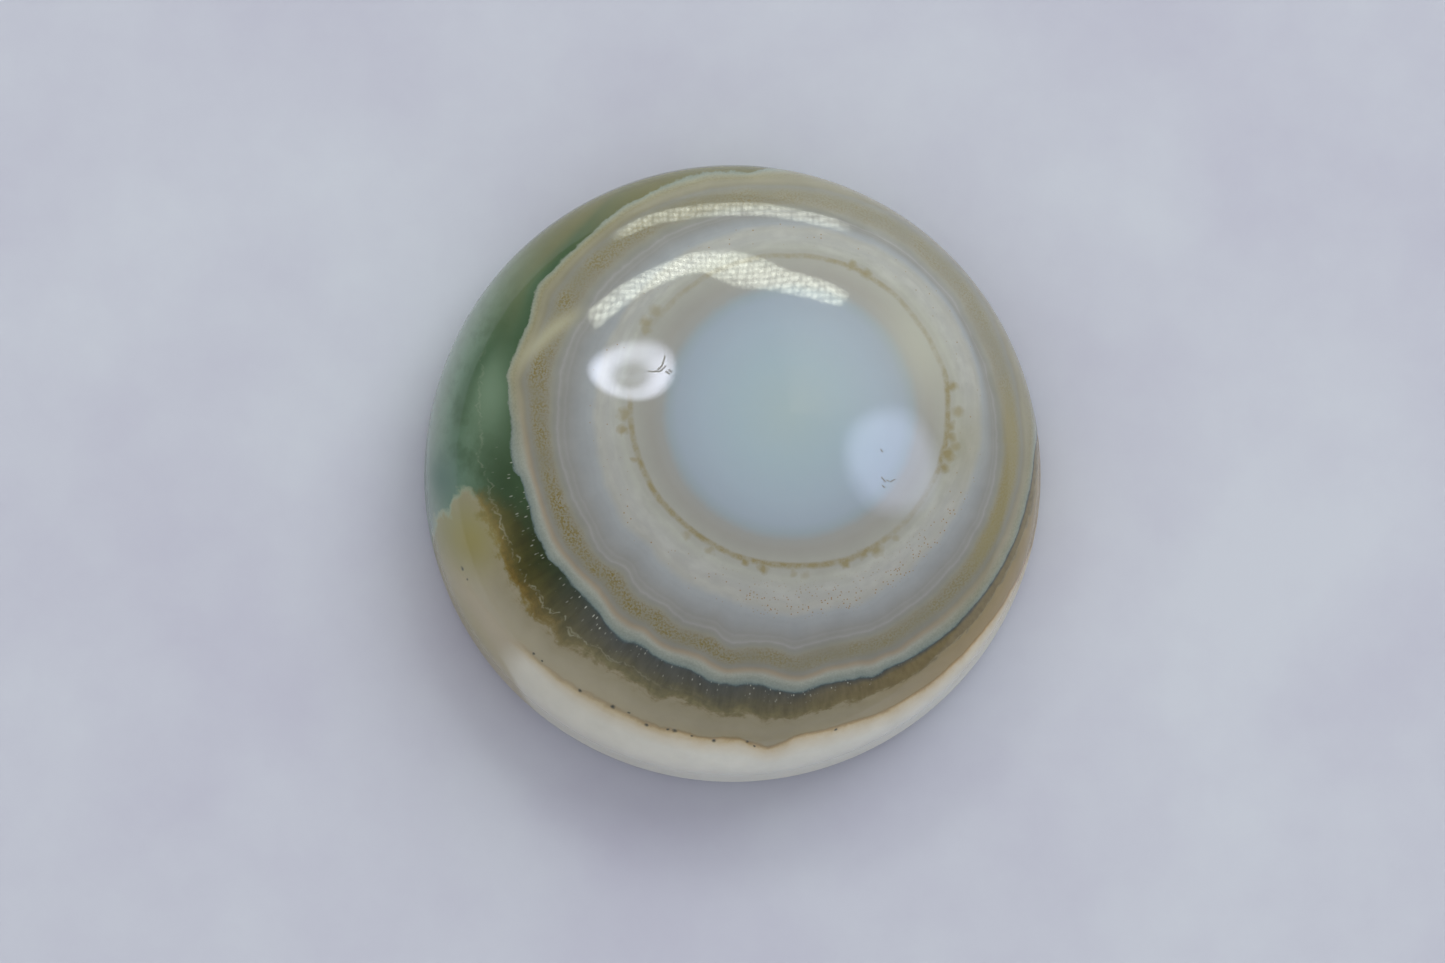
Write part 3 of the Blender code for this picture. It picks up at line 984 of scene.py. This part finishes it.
def lamp(name, seen, glow, radiance, colour, woven=False, lights_stone=True):
    """A glowing screen whose reflection covers a grid of offsets, as bright as glow says.

    A woven one has the dots of a diffuser cloth. One that doesn't light the stone shows in its
    polish alone.
    """
    corners = mirrored(seen)
    number = np.arange(glow.size).reshape(glow.shape)
    quads = np.stack([number[:-1, :-1], number[1:, :-1], number[1:, 1:], number[:-1, 1:]], axis=-1)
    mesh = mesh_of(name, corners.reshape(-1, 3), quads.reshape(-1, 4).tolist())
    keep(mesh, "glow", glow.ravel())
    material = bpy.data.materials.new(name + "_glow")
    tree = blank_tree(material)
    shine = add(tree, "Attribute", attribute_name="glow").outputs["Fac"]
    if woven:
        keep(mesh, "cloth", np.concatenate([seen, 0 * seen[..., :1]], axis=-1).reshape(-1, 3))
        cloth = add(tree, "Attribute", attribute_name="cloth").outputs["Vector"]
        dots = add(tree, "TexVoronoi", {"Vector": cloth, "Scale": CLOTH_DOTS_PER_MM, "Randomness": 0.4})
        dots = add(tree, "MapRange", (dots, 0.0, 0.7, 1.5, 0.3))
        shine = add(tree, "Math", (shine, dots), operation="MULTIPLY")
    power = add(tree, "Math", (shine, radiance), operation="MULTIPLY")
    light = add(tree, "Emission", {"Color": colour, "Strength": power})
    add(tree, "OutputMaterial", {"Surface": light})
    mesh.materials.append(material)
    screen = in_scene(name, mesh)
    screen.visible_camera = False
    screen.visible_diffuse = lights_stone
    print(name, "spans", np.round(np.ptp(corners.reshape(-1, 3), axis=0)).tolist(), "mm")


# %% Tubes beyond the table
# Offsets right and up from the outline's middle, then half the width of the reflection, in mm.
NEAR_TUBE = (
    (-3.24, 3.55, 0.20), (-2.67, 3.96, 0.22), (-1.96, 4.39, 0.23), (-1.28, 4.71, 0.24),
    (-0.71, 4.89, 0.27), (-0.25, 4.80, 0.36), (0.20, 4.71, 0.42), (0.66, 4.60, 0.36), (1.16, 4.41, 0.27),
    (1.64, 4.26, 0.25), (2.12, 4.10, 0.25), (2.55, 3.91, 0.20))
FAR_TUBE = (
    (-2.87, 5.27, 0.14), (-1.98, 5.74, 0.15), (-1.28, 5.91, 0.16), (-0.57, 5.99, 0.17), (0.25, 6.02, 0.17),
    (0.98, 5.97, 0.17), (1.64, 5.84, 0.16), (2.35, 5.67, 0.14), (2.82, 5.47, 0.12))
TUBE_STEPS = 60


def tube(name, readings, radiance, colour, end_fade):
    """A ribbon lamp along a read line, fading at its ends and softly at its sides.

    Point (s, t) of the reflection is the line at s plus t half widths away from the dome's
    middle, and it glows as (1 - t ** 4) times a short ramp at each end.
    """
    right, up, half = np.array(readings).T
    run = np.concatenate([[0.0], np.cumsum(np.hypot(np.diff(right), np.diff(up)))])
    s = np.linspace(0.0, run[-1], TUBE_STEPS)
    line = np.stack([np.interp(s, run, right), np.interp(s, run, up)], axis=-1)
    smooth = np.array([0.25, 0.5, 0.25])
    for _ in range(6):
        line[1:-1] = sum(w * line[k:k + TUBE_STEPS - 2] for k, w in enumerate(smooth))
    t = np.linspace(-1.0, 1.0, 9)
    away = line / np.linalg.norm(line, axis=-1, keepdims=True)
    seen = line[:, None] + (np.interp(s, run, half)[:, None] * t)[..., None] * away[:, None]
    ends = np.clip(np.minimum(s, run[-1] - s) / end_fade, 0.0, 1.0)
    lamp(name, seen, ends[:, None] * (1 - t ** 4), radiance, colour, woven=True)


tube("near_tube", NEAR_TUBE, 10.5, "#faffee", 0.15)
tube("far_tube", FAR_TUBE, 6.0, "#faffee", 0.6)

# %% Round lamps
def round_lamp(name, middle, half_size, tilt, glow_stops, dip, radiance, colour):
    """A round lamp: point (t, a) of its reflection is the middle plus t times the ellipse at a.

    Its glow is a line through stops of t and brightness, from the middle to the rim, and less by
    the dip times sin(a) ** 2, so at its top and bottom.
    """
    t = np.linspace(0.0, 1.0, 17)[:, None]
    a = np.linspace(0.0, math.tau, 49)[None, :]
    wide, tall = half_size[0] * t * np.cos(a), half_size[1] * t * np.sin(a)
    turn = math.radians(tilt)
    seen = np.stack([middle[0] + wide * math.cos(turn) - tall * math.sin(turn),
                     middle[1] + wide * math.sin(turn) + tall * math.cos(turn)], axis=-1)
    glow = np.interp(t, *np.array(glow_stops).T) * (1 - dip * np.sin(a) ** 2)
    lamp(name, seen, glow, radiance, colour, lights_stone=False)


round_lamp("ring_lamp", (-2.31, 2.55), (1.02, 0.70), -8.0,
           ((0.0, 0.24), (0.3, 0.28), (0.56, 0.95), (0.76, 1.0), (1.0, 0.0)), 0.40, 14.0, "#e6ecff")
round_lamp("window", (3.66, 0.25), (1.20, 1.45), 8.0,
           ((0.0, 1.0), (0.65, 0.95), (1.0, 0.0)), 0.0, 4.8, "#cfdcff")

# %% [markdown]
# What those two lamps show in the polish, a softbox on the right gives as light. It draws the
# darkest shadow at the lower left.

# %% Softbox
SOFTBOX_AZIMUTH = 50.0
SOFTBOX_ELEVATION = 42.0
SOFTBOX_WIDTH = 0.32
SOFTBOX_POWER = 0.95
turn, lift = math.radians(SOFTBOX_AZIMUTH), math.radians(SOFTBOX_ELEVATION)
box_light = bpy.data.lights.new("softbox", "AREA")
box_light.shape = "DISK"
box_light.size = SOFTBOX_WIDTH
box_light.energy = SOFTBOX_POWER
box_light.color = linear("#fbfdfa")[:3]
softbox = in_scene("softbox", box_light)
softbox.location = [LAMP_DISTANCE * MM * v for v in
                    (math.cos(lift) * math.cos(turn), math.cos(lift) * math.sin(turn), math.sin(lift))]
softbox.rotation_euler = (0.0, math.pi / 2 - lift, turn)
softbox.visible_glossy = False
print("softbox", SOFTBOX_AZIMUTH, "degrees round and", SOFTBOX_ELEVATION, "up")

# %% [markdown]
# The rest of the light comes evenly from pale walls and a ceiling. The dome itself reflects a
# dimmer room than the one that lights it, as it does under a lens hood, so that the dark
# stone keeps its depth.

# %% Room
ROOM_LIGHT = 0.70
REFLECTED_ROOM_LIGHT = 0.21
world = bpy.data.worlds.new("room")
bpy.context.scene.world = world
tree = blank_tree(world)
glossy = add(tree, "LightPath").outputs["Is Glossy Ray"]
strength = add(tree, "MapRange", (glossy, 0.0, 1.0, ROOM_LIGHT, REFLECTED_ROOM_LIGHT))
background = add(tree, "Background", {"Color": "#fcf8f9", "Strength": strength})
add(tree, "OutputWorld", {"Surface": background})
print("room light", ROOM_LIGHT, "and", REFLECTED_ROOM_LIGHT, "in reflections")
